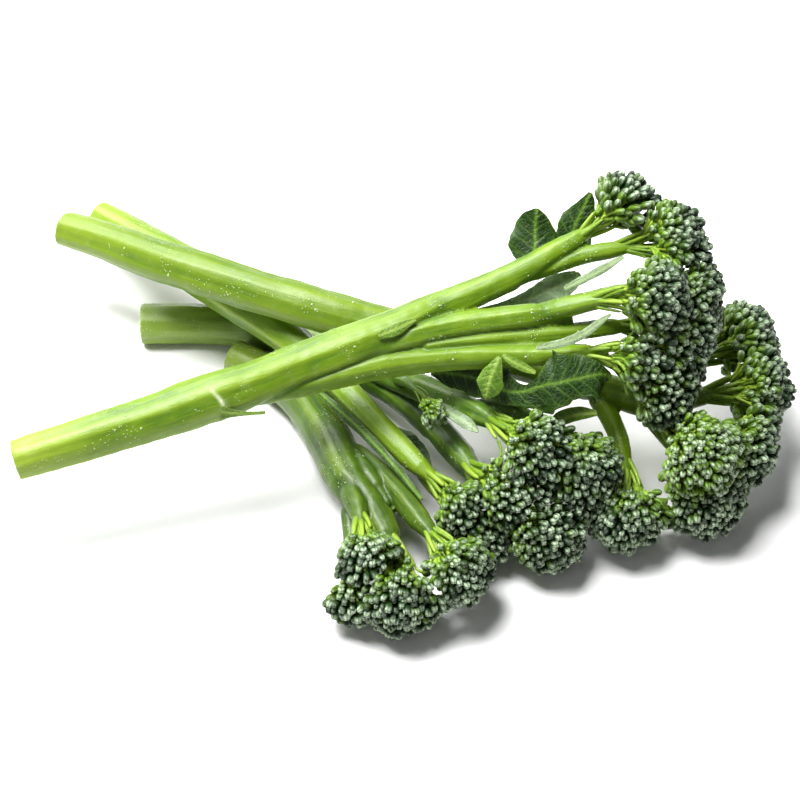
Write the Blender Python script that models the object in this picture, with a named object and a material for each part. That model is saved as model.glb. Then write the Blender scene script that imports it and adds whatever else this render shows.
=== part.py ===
"""A bunch of broccolini: five branched spears that lie across one another, crowns to the right.

Run with: blender --background --python part.py
Each spear is one smooth branching stem with a bud floret on every branch. Small leaves and bracts
grow beside the stems. Routes are in millimetres, with +X towards the crowns, +Z up and the table at 0.
"""

import math
import random

import bmesh
import bpy
from mathutils import Vector

MM = 0.001
BUNCH_CENTRE = (2.3, 8.6)  # middle of the bunch's footprint in the routes below
STEM_SIDES = 10
BRANCH_SIDES = 8
STEM_STEPS = 3  # rings for each stretch between two route points
CLEARANCE = 0.3  # gap between two pieces that press on each other
LEAF_CLEARANCE = 0.8
LUMPS = 11  # bud clusters that stand out of one floret
LUMP_DEPTH = 0.13  # share of the radius between two clusters
LUMP_WIDTH = 0.42  # radians
NECK = 3.0  # how far inside its branch a floret's underside would come to a point

STEM_GREEN = (0.36, 0.55, 0.13)
STEM_YELLOW = (0.48, 0.64, 0.12)
STEM_DEEP = (0.26, 0.46, 0.10)
BUD_GREEN = (0.13, 0.22, 0.12)
BUD_YOUNG = (0.24, 0.38, 0.10)
LEAF_DARK = (0.05, 0.16, 0.04)
LEAF_PALE = (0.38, 0.50, 0.30)

# Every stem: colour, then its trunk and its branches as points of (x, y, z, radius).
# The first point of a branch lies inside the limb that it grows from.
STEMS = {
    "top_stem": (STEM_GREEN, {
        "trunk": [(-97, -24, 30, 5.2), (-83.5, -20.5, 32, 5.5), (-72, -16.5, 33, 5.8),
                  (-59.5, -13, 35, 6), (-48.5, -9.5, 37, 6.4), (-38.5, -6.5, 38.5, 5.7),
                  (-25.5, -1, 40, 5.6), (-13, 3.5, 42, 5.6), (0, 8, 44, 5.2),
                  (10.5, 13.5, 46, 4.3), (20.5, 17, 48.5, 3.7), (33.5, 22, 52, 3.3),
                  (42.5, 26.5, 55, 2.8), (50.5, 31, 58, 2.3)],
        "upper_fork": [(31, 20.5, 50.5, 2.6), (45, 24.5, 53, 2.4), (57, 26, 55, 2.2),
                       (62, 26, 56, 2)],
        "middle": [(-13, 3, 41.5, 4.6), (5, 6.5, 44, 3.9), (20.5, 8.5, 46, 3.3), (36, 9.5, 48, 3),
                   (52, 14, 49, 2.6), (66, 18.5, 48, 2.2)],
        "middle_fork": [(36, 9.5, 48, 2.6), (47, 9.5, 52, 2.3), (54, 8.5, 55, 2)],
        "inner": [(7.5, 4, 41.5, 3), (25.5, 5.5, 43, 2.6), (41, 6.5, 44, 2.4),
                  (54.5, 8.5, 44, 2.2), (61.5, 9, 43.5, 2)],
        "lower": [(-44.5, -8.5, 36, 4), (-25.5, -4.5, 37, 3.4), (-13, -1.5, 38, 3.6),
                  (0, 1, 39, 3.8), (15.5, 2, 40, 3.6), (30.5, 1.5, 41, 3), (43.5, 1, 42, 2.6),
                  (52, 1, 43, 2.2)],
        "lower_fork": [(33.5, 2.2, 40.2, 2.4), (48.5, 5.5, 37.5, 2), (59, 1.5, 34, 1.8)],
    }),
    "back_stem": (STEM_YELLOW, {
        "trunk": [(-93.5, 60.5, 27, 4.8), (-80, 54, 28, 5.3), (-68.5, 47, 29.5, 5.7),
                  (-54, 40, 30.5, 5.8), (-35.5, 32.5, 30.3, 5.7), (-21, 27.5, 29.3, 5.8),
                  (-6.5, 24, 28, 5.2), (10.5, 19.5, 26.5, 4.7), (32, 13.5, 24.5, 4.6),
                  (50, 7.5, 22.5, 4.4), (63, 1.5, 22.5, 3.8), (69.5, -7.5, 24, 3)],
        "far": [(58, 4, 22.5, 3.4), (71.5, 10, 23.5, 3), (82, 16, 25, 2.6)],
        "right": [(63, 1.5, 22.5, 3.4), (76, 3, 22.5, 3), (85.5, 5, 22.5, 2.6)],
        "near": [(65.5, -0.5, 22.5, 3), (76, -3.5, 20, 2.8), (82.5, -6, 19, 2.4)],
        "low": [(63, 1.5, 22.5, 3), (70.5, -5, 16, 2.7), (75.5, -12.5, 13, 2.3)],
        "hanging": [(50, 7.5, 22.5, 3), (55.5, -2, 19, 2.6), (58, -10, 16, 2.4),
                    (59.5, -17, 13.5, 2)],
    }),
    "crossing_stem": (STEM_GREEN, {
        "trunk": [(-86, 75, 17, 4.8), (-70.5, 63.5, 17.2, 5.4), (-55.5, 51, 18, 6),
                  (-42.5, 39.5, 18.2, 5.8), (-30, 28, 18, 4.9), (-17.5, 13.5, 18, 3.9),
                  (-8, 0.5, 17.5, 3.4), (2.5, -12.5, 17, 3.1), (10, -20.5, 16, 2.8)],
        "fork": [(5, -15, 16, 2.4), (10.5, -20, 11, 2), (15.5, -25.5, 9.5, 1.8)],
    }),
    "middle_stem": (STEM_DEEP, {
        "trunk": [(-72.5, 44.5, 5.5, 5.5), (-56, 44.5, 5.5, 5.5), (-40.5, 42, 6.2, 5.4),
                  (-25, 35.5, 7.5, 5.2), (-11, 25, 9, 4.8), (0, 13.5, 11, 4.3), (9.5, 0.5, 13, 3.9),
                  (16, -10.5, 15, 3.4), (20, -17.5, 16, 3)],
        "upper": [(-9.5, 23, 12, 3.6), (5.5, 8.5, 20, 3.6), (15.5, -0.5, 24, 3.6),
                  (22.5, -7.5, 27, 3.2), (26, -11.5, 27.5, 2.8)],
        "upper_fork": [(18, -2.5, 25, 3), (30, -5.5, 26, 2.6), (39, -10, 24, 2.3)],
        "lower": [(10.5, -1, 12, 3.4), (21, -13, 8, 3), (30, -24.5, 8, 2.6)],
        "shoot": [(-1, 13.5, 17.5, 1.8), (1.5, 7, 24, 1.2), (5.5, -0.5, 28, 1)],
    }),
    "near_stem": (STEM_GREEN, {
        "trunk": [(-46, 32, 5.2, 5), (-34.5, 24, 6, 5.4), (-25.5, 13.5, 7.8, 5.8),
                  (-18.5, -1.5, 10, 6.2), (-13, -16.5, 12, 5.8), (-5.5, -30, 12, 4.4),
                  (-1, -40, 12, 3.2)],
        "left": [(-14.5, -13, 12, 4), (-11, -27, 15, 3.2), (-9.5, -35.5, 17, 2.6)],
        "low_left": [(-13, -19, 11, 2.6), (-12.5, -33, 8, 2), (-13, -44.5, 8.5, 1.7)],
        "web": [(-16.5, -6, 11.5, 4.6), (-8.5, -16.5, 12.6, 4.4), (-3.5, -25, 13.4, 3.2)],
        "right": [(-17, -4, 11, 4.2), (-3, -18, 13, 3.4), (5, -31.5, 15, 2.9),
                  (9.5, -39, 15.5, 2.4)],
    }),
}

# Every floret: stem, branch that carries it, centre, radius and colour.
FLORETS = {
    "top_floret_tip": ("top_stem", "trunk", (57.5, 35.5, 62), 8.8, BUD_GREEN),
    "top_floret_far": ("top_stem", "upper_fork", (69.5, 26.5, 57), 10.4, BUD_GREEN),
    "top_floret_right": ("top_stem", "middle", (74, 16, 47), 10.8, BUD_GREEN),
    "top_floret_crest": ("top_stem", "middle_fork", (63.5, 6, 57.5), 9.4, BUD_GREEN),
    "top_floret_inner": ("top_stem", "inner", (70.5, 4, 42), 10.4, BUD_GREEN),
    "top_floret_near": ("top_stem", "lower", (61, -1.5, 44), 9, BUD_GREEN),
    "top_floret_low": ("top_stem", "lower_fork", (67.5, -6.5, 34.5), 9, BUD_GREEN),
    "back_floret_far": ("back_stem", "far", (90.5, 20.5, 26), 10.4, BUD_GREEN),
    "back_floret_right": ("back_stem", "right", (93, 6.5, 22), 10.8, BUD_GREEN),
    "back_floret_young": ("back_stem", "trunk", (76.5, -18.5, 26.5), 11, BUD_YOUNG),
    "back_floret_near": ("back_stem", "near", (89, -9, 17), 10.8, BUD_GREEN),
    "back_floret_low": ("back_stem", "low", (79, -21.5, 11.5), 11.2, BUD_GREEN),
    "back_floret_hanging": ("back_stem", "hanging", (57.5, -26.5, 11.2), 11, BUD_GREEN),
    "crossing_floret": ("crossing_stem", "trunk", (16, -27.5, 15), 8.4, BUD_GREEN),
    "crossing_floret_low": ("crossing_stem", "fork", (22.5, -32, 8.5), 8.2, BUD_GREEN),
    "middle_floret_crest": ("middle_stem", "upper", (33.5, -19, 28), 10.4, BUD_GREEN),
    "middle_floret_right": ("middle_stem", "upper_fork", (46, -20, 21.5), 11, BUD_GREEN),
    "middle_floret_low": ("middle_stem", "lower", (37.5, -32.5, 11), 11, BUD_GREEN),
    "middle_floret_left": ("middle_stem", "trunk", (29, -25.5, 19.5), 10, BUD_GREEN),
    "side_shoot_floret": ("middle_stem", "shoot", (8.5, -7.1, 27.6), 3.8, BUD_YOUNG),
    "near_floret_left": ("near_stem", "left", (-8.5, -44, 17), 7.8, BUD_GREEN),
    "near_floret_low": ("near_stem", "low_left", (-12.5, -52, 8), 6.4, BUD_GREEN),
    "near_floret_front": ("near_stem", "trunk", (0.5, -52, 10.8), 10.8, BUD_GREEN),
    "near_floret_right": ("near_stem", "right", (14.5, -46.5, 14.5), 9.8, BUD_GREEN),
}

# Every leaf: colour, direction that its face looks in, thickness, how far its edges droop, and
# its midrib as points of (x, y, z, width to the left, width to the right).
LEAVES = {
    "top_leaf": (LEAF_DARK, (-0.1, -0.6, 0.77), 0.8, 0.6, [
        (35.4, 26.6, 49.2, 4.5, 5.5), (35.2, 29.5, 51.0, 6.4, 5.5), (35.2, 32.1, 52.8, 6.4, 5.2),
        (35.2, 34.2, 54.8, 5.6, 4.6), (35.4, 35.8, 57.0, 3.6, 3.2), (35.6, 36.9, 58.5, 0.5, 0.5)]),
    "top_leaf_far": (LEAF_DARK, (0.15, -0.6, 0.77), 0.8, 0.6, [
        (43.9, 31.2, 49.2, 4, 6), (44.9, 34, 51.6, 4.4, 6), (46.2, 36.8, 53.9, 4, 5.2),
        (47.8, 39.4, 56.1, 2.6, 4), (49, 41.3, 57.7, 1.2, 2.4), (49.8, 42.4, 58.9, 0.5, 0.6)]),
    "pale_leaf": (LEAF_PALE, (0, -0.5, 0.85), 0.7, 0.3, [
        (17.1, 14.5, 42.4, 0.5, 0.5), (23.3, 15.8, 42.9, 1, 1), (29.8, 17.2, 43.6, 1.6, 1.6),
        (35.8, 19, 44.8, 2.8, 3), (41.5, 20.9, 46.5, 3.4, 3.6), (45.7, 22.7, 48, 1.6, 2),
        (46.7, 23.3, 48.5, 0.5, 0.5)]),
    "front_leaf": (LEAF_DARK, (0, -0.62, 0.78), 0.8, 0.8, [
        (8, 3.6, 31.6, 0.6, 0.6), (12, 3.4, 31.8, 3.2, 3), (18, 2, 32, 5, 4.4),
        (23.5, -1.5, 32.8, 5.5, 4), (27.8, -5, 34.4, 4, 3.4), (31.6, -6.8, 36.6, 1.6, 4.5),
        (35.1, -7.1, 38.6, 2.4, 7),
        (37.8, -7.6, 40.4, 5.5, 7.6), (39.9, -7.8, 41.0, 8, 6.6), (42.7, -7.7, 42.0, 7.2, 5),
        (46.2, -7.1, 42.3, 6.2, 5.2), (50.1, -6.0, 42.3, 3.6, 6.6), (52.6, -5.0, 40.8, 1.4, 4),
        (53.6, -4.9, 39.3, 0.5, 0.8)]),
    "front_strap": (LEAF_PALE, (0.3, -0.5, 0.8), 0.7, 0.2, [
        (26.1, -2.2, 45.4, 0.6, 0.6), (28.4, -3.4, 44.4, 1.1, 1.1), (31.4, -4.2, 43, 1.2, 1.2),
        (34.5, -5, 41.7, 0.5, 0.5)]),
    "curled_leaf": (LEAF_DARK, (-0.2, -0.6, 0.77), 0.8, 0.8, [
        (25.2, -1.6, 44.0, 0.6, 0.6), (24.2, -3.4, 42.5, 2, 1.8), (23.1, -5, 40.4, 3, 2.8),
        (22.4, -6.6, 38.4, 3.8, 3), (21.9, -7.5, 36.3, 2.6, 1.6), (21.7, -7.8, 34.7, 0.5, 0.5)]),
    "curled_lobe": (LEAF_PALE, (0, -0.7, 0.7), 0.7, 0.8, [
        (50, -12, 34, 0.7, 0.7), (45.5, -11.2, 32.6, 1.6, 2), (41, -12.4, 32, 1.6, 2),
        (38.4, -13.4, 31.2, 0.6, 0.6)]),
    "shoot_leaf": (LEAF_PALE, (0.2, -0.5, 0.85), 0.7, 0.3, [
        (8.8, -0.6, 24.4, 0.6, 0.6), (11, -2.8, 25.2, 1.5, 1.3), (14.3, -6.7, 26.6, 1.8, 1.5),
        (17.6, -9.6, 26.8, 1.6, 1.5), (20, -11.8, 26.5, 0.5, 0.5)]),
    "strap_leaf_upper": (LEAF_PALE, (-0.2, -0.6, 0.75), 0.7, 0.2, [
        (42, 14.2, 52.4, 0.6, 0.6), (47, 15.6, 54.6, 1.1, 1.1), (52, 17.4, 56.6, 1.1, 1.1),
        (57, 19.6, 58.6, 0.5, 0.5)]),
    "strap_leaf_lower": (LEAF_PALE, (-0.1, -0.6, 0.8), 0.7, 0.2, [
        (34.4, -1.6, 47.4, 0.5, 0.5), (38.4, -1.2, 48, 1, 1), (42.5, -0.4, 48.7, 1.1, 1.1),
        (46.8, 1.4, 49.7, 1.1, 1.1), (50.4, 3.6, 51.2, 0.9, 0.9), (53.4, 5.6, 52.2, 0.4, 0.4)]),
    "long_bract": (LEAF_DARK, (-0.4, -0.3, 0.85), 0.7, 0.2, [
        (-22.5, 8.5, 19.8, 0.6, 0.6), (-16, 0.6, 20.2, 1.2, 1.2), (-9, -7.5, 20, 1.3, 1.3),
        (-1, -18, 19.4, 1.1, 1.1), (5.5, -28, 19, 0.5, 0.5)]),
    "joint_bract": (LEAF_PALE, (0, -0.9, 0.4), 0.7, 0.3, [
        (-45, -15.5, 38.8, 1.7, 2.3), (-42.7, -15.4, 38.2, 1.1, 1.5), (-40, -15.2, 37.8, 0.6, 0.8),
        (-37, -14.8, 37.3, 0.5, 0.5), (-34, -14.5, 37.2, 0.5, 0.5)]),
    "fork_bract": (LEAF_PALE, (0, -0.64, 0.77), 0.7, 0.3, [
        (-5.5, 2.2, 47.8, 0.8, 1), (-1, 3.9, 48.5, 1.3, 1.7), (4, 6.4, 49.3, 0.5, 0.5)]),
    "deep_leaf": (LEAF_DARK, (-0.2, -0.6, 0.8), 0.7, 0.4, [
        (-2.4, 4.6, 8.4, 0.7, 0.7), (1, 0, 8, 3, 2), (4.5, -4, 7.6, 3, 2.5),
        (8, -8.6, 7.2, 0.7, 0.7)]),
}


def clear_scene():
    for item in list(bpy.data.objects):
        bpy.data.objects.remove(item, do_unlink=True)


def placed(point):
    """A route point as a vector in metres, with the middle of the bunch at the origin."""
    return Vector((point[0] - BUNCH_CENTRE[0], point[1] - BUNCH_CENTRE[1], point[2])) * MM


def smooth(points, steps):
    """Catmull-Rom curve through points of any length, which keeps each given point."""
    before = [2 * a - b for a, b in zip(points[0], points[1])]
    after = [2 * a - b for a, b in zip(points[-1], points[-2])]
    padded = [before, *points, after]
    curve = []
    for index in range(1, len(padded) - 2):
        p0, p1, p2, p3 = padded[index - 1:index + 3]
        for step in range(steps):
            t = step / steps
            curve.append([
                0.5 * (2 * b + (c - a) * t + (2 * a - 5 * b + 4 * c - d) * t ** 2
                       + (3 * b - a - 3 * c + d) * t ** 3)
                for a, b, c, d in zip(p0, p1, p2, p3)
            ])
    curve.append(list(points[-1]))
    return curve


def tangents(centres):
    """Unit direction of a line of vectors at each of its points."""
    last = len(centres) - 1
    return [(centres[min(i + 1, last)] - centres[max(i - 1, 0)]).normalized()
            for i in range(last + 1)]


def skin(mesh_name, rings):
    """A closed mesh over rings that each turn right-handed about the way on, with flat end caps."""
    bm = bmesh.new()
    loops = [[bm.verts.new(point) for point in ring] for ring in rings]
    count = len(loops[0])
    for lower, upper in zip(loops, loops[1:]):
        for i in range(count):
            j = (i + 1) % count
            bm.faces.new((lower[i], lower[j], upper[j], upper[i]))
    bm.faces.new(reversed(loops[0]))
    bm.faces.new(loops[-1])
    return finished(mesh_name, bm)


def finished(mesh_name, bm):
    mesh = bpy.data.meshes.new(mesh_name)
    bm.to_mesh(mesh)
    bm.free()
    return mesh


def tube(mesh_name, route, sides):
    """A round limb along a route of (x, y, z, radius)."""
    curve = smooth(route, STEM_STEPS)
    centres = [placed(point) for point in curve]
    rings = []
    side = None
    for centre, along, point in zip(centres, tangents(centres), curve):
        if side is None:
            side = along.orthogonal().normalized()
        side = (side - along * side.dot(along)).normalized()
        other = along.cross(side)
        rings.append([
            centre + (side * math.cos(turn) + other * math.sin(turn)) * point[3] * MM
            for turn in (2 * math.pi * k / sides for k in range(sides))
        ])
    return skin(mesh_name, rings)


def material(name, colour, roughness):
    made = bpy.data.materials.new(name)
    made.use_nodes = True
    shader = made.node_tree.nodes["Principled BSDF"]
    shader.inputs["Base Color"].default_value = (*colour, 1)
    shader.inputs["Roughness"].default_value = roughness
    shader.inputs["Metallic"].default_value = 0
    made.diffuse_color = (*colour, 1)
    return made


def add_object(name, mesh, surface=None):
    made = bpy.data.objects.new(name, mesh)
    bpy.context.scene.collection.objects.link(made)
    if surface:
        mesh.materials.append(surface)
    return made


def build_stem(name, colour, limbs):
    """The trunk with every branch joined to it, as one solid."""
    stem = add_object(name, tube(name, limbs["trunk"], STEM_SIDES), material(name, colour, 0.45))
    for branch, route in limbs.items():
        if branch == "trunk":
            continue
        limb = add_object(f"{name}_{branch}", tube(branch, route, BRANCH_SIDES))
        limb.hide_render = True
        limb.display_type = "WIRE"
        join = stem.modifiers.new(branch, "BOOLEAN")
        join.operation = "UNION"
        join.solver = "EXACT"
        join.object = limb
    return stem


def build_leaf(name, colour, facing, thickness, droop, midrib):
    """A thin blade along its midrib, with a lens-shaped section."""
    curve = smooth(midrib, STEM_STEPS)
    centres = [placed(point) for point in curve]
    half = thickness * MM / 2
    rings = []
    for centre, along, point in zip(centres, tangents(centres), curve):
        across = along.cross(Vector(facing)).normalized()
        face = across.cross(along)
        left, right = -across * point[3] * MM, across * point[4] * MM
        low_left, low_right = (-face * droop * MM * (w / max(midrib[1][3:])) for w in point[3:])
        rings.append([
            centre + left + low_left,
            centre + (left + low_left) * 0.5 + face * half,
            centre + face * half,
            centre + (right + low_right) * 0.5 + face * half,
            centre + right + low_right,
            centre + (right + low_right) * 0.5 - face * half,
            centre - face * half,
            centre + (left + low_left) * 0.5 - face * half,
        ])
    return add_object(name, skin(name, rings), material(name, colour, 0.5))


def obstacles():
    """Balls that fill every limb and leaf, as (owner, centre, radius, distance from the limb's end)."""
    balls = []
    for stem, (_, limbs) in STEMS.items():
        for branch, route in limbs.items():
            end = placed(route[-1])
            for point in smooth(route, 2 * STEM_STEPS):
                centre = placed(point)
                balls.append(((stem, branch), centre, (point[3] + CLEARANCE) * MM,
                              (centre - end).length))
    for leaf, (_, _, _, _, midrib) in LEAVES.items():
        for point in smooth(midrib, 2 * STEM_STEPS):
            centre = placed(point)
            balls.append(((leaf, ""), centre, LEAF_CLEARANCE * MM, 0))
    return balls


def walls_around(name, balls):
    """Planes (direction, distance) that close a floret in: the branch, its neighbours, the table."""
    stem, branch, place, radius, _ = FLORETS[name]
    centre = placed(place)
    reach = radius * MM
    route = [placed(point) for point in STEMS[stem][1][branch]]
    tip, along = route[-1], (route[-1] - route[-2]).normalized()
    walls = [(-along, (centre - tip).dot(along) - CLEARANCE * MM)]
    for owner, ball, size, from_end in balls:
        offset = ball - centre
        at_own_tip = owner == (stem, branch) and from_end < 1.3 * size
        if not at_own_tip and offset.length - size < reach:
            walls.append((offset.normalized(), offset.length - size))
    for other, (_, _, their_place, their_radius, _) in FLORETS.items():
        offset = placed(their_place) - centre
        their_reach = their_radius * MM
        if other != name and offset.length < reach + their_reach:
            shared = (offset.length ** 2 + reach ** 2 - their_reach ** 2) / (2 * offset.length)
            walls.append((offset.normalized(), shared - CLEARANCE * MM / 2))
    walls.append((Vector((0, 0, -1)), centre.z))
    return walls


def build_floret(name, balls):
    """A lumpy dome of buds on a cone-shaped underside that meets its branch."""
    stem, branch, place, radius, colour = FLORETS[name]
    centre, reach = placed(place), radius * MM
    to_tip = placed(STEMS[stem][1][branch][-1]) - centre
    apex = to_tip.length + NECK * MM
    slope = math.asin(min(0.95, reach / apex))
    rng = random.Random(name)
    lumps = [Vector([rng.gauss(0, 1) for _ in range(3)]).normalized() for _ in range(LUMPS)]
    walls = walls_around(name, balls)
    turn = Vector((0, 0, -1)).rotation_difference(to_tip)
    bm = bmesh.new()
    bmesh.ops.create_icosphere(bm, subdivisions=3, radius=1)
    for vert in bm.verts:
        ray = (turn @ vert.co).normalized()
        nearest = min(ray.angle(lump) for lump in lumps)
        size = reach * (1 - LUMP_DEPTH * (1 - math.exp(-(nearest / LUMP_WIDTH) ** 2)))
        from_tip = ray.angle(to_tip)
        if from_tip < math.pi / 2 - slope:
            size = apex * math.sin(slope) / math.sin(from_tip + slope)
        for direction, distance in walls:
            towards = ray.dot(direction)
            if towards > 0:
                size = min(size, distance / towards)
        vert.co = centre + ray * size
    return add_object(name, finished(name, bm), material(name, colour, 0.7))


def main():
    clear_scene()
    for name, (colour, limbs) in STEMS.items():
        build_stem(name, colour, limbs)
    for name, facts in LEAVES.items():
        build_leaf(name, *facts)
    balls = obstacles()
    for name in FLORETS:
        build_floret(name, balls)


main()
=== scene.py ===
import math

import bpy
import numpy as np
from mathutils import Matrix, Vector


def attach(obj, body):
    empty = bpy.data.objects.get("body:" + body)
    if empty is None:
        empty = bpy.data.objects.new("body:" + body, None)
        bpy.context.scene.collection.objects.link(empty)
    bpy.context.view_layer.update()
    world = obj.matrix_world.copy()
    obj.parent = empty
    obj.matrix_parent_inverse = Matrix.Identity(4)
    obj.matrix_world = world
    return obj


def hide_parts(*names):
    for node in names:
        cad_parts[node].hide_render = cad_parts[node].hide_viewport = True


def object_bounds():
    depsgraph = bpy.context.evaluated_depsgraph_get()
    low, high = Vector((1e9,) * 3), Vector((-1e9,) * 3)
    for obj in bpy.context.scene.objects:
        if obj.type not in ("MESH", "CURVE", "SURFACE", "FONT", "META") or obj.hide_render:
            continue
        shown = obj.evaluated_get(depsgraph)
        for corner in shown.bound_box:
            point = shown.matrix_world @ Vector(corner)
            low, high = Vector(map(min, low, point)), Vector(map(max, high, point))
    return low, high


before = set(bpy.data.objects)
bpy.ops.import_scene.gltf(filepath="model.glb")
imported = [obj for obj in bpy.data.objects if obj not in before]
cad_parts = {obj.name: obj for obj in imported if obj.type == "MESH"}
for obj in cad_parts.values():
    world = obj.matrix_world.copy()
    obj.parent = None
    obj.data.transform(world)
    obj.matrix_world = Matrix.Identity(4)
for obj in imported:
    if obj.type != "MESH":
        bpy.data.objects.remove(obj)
CAD_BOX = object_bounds()

bl_info = {
    "name": "Bunch of Broccolini",
    "version": (1, 0, 0),
    "blender": (4, 5, 0),
    "location": "3D View > Sidebar > Broccolini",
    "description": "Grows the stalks, crowns and leaves of a bunch of broccolini round its packed model",
    "category": "Add Mesh",
}

MM = 0.001
BUNCH_CENTRE = np.array((2.3, 8.6, 0.0))  # subtracted from every route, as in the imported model
GOLDEN_TURN = math.pi * (3 - math.sqrt(5))
LIMB_MELT = 0.35  # softness, in millimetres, of the crotch where two limbs part
TIP_TAPER = 0.42  # how much a limb thins where it splits into the branches of a crown
CROWN_MELT = 2.4  # how far, in millimetres, the crowns of one stalk grow into each other
CUT_RIM = 0.5  # rounding, in millimetres, of the edge of a cut end
CROWN_SKIRT = 1.27  # how far round a crown its sparse last buds reach, in shares of the spread
CLUSTERS_PER_MM = 1.6  # clusters of buds for each millimetre of a crown's radius
SMALL_CROWN = 5  # radius, in millimetres, below which a crown has smaller buds
BROAD_LEAF = 2.9  # half width, in millimetres, above which a leaf is lobed, puffed and well veined
LEAF_STEPS = 24  # rows of faces between two points of a midrib
LEAF_COLUMNS = 14  # columns of faces from a midrib to the leaf's edge

# Colours that no setting changes.
SKIN_BLOOM = (0.62, 0.74, 0.5, 1)
SCAR_TISSUE = (0.72, 0.78, 0.5, 1)
FLESH = (0.6, 0.68, 0.33, 1)
FLESH_RING = (0.3, 0.45, 0.12, 1)
DEW_GLINT = (0.8, 0.9, 0.6, 1)
LIVELY_BUD = (0.15, 0.28, 0.012, 1)
LIVELY_BUD_FOOT = (0.24, 0.4, 0.05, 1)
STALKLET_DEEP = (0.1, 0.2, 0.01, 1)
STALKLET_PALE = (0.27, 0.4, 0.04, 1)
STALKLET_FOOT = (0.13, 0.23, 0.01, 1)
# Painted shade: the near-black colour of each crown's core.
CROWN_CORE_SHADE = (0.02, 0.06, 0.008, 1)
SOFT_SKIN = (0.5, 1.0, 0.2)  # how far red, green and blue light go under the skin
SOFT_BLADE = (0.4, 1.0, 0.2)

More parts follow.
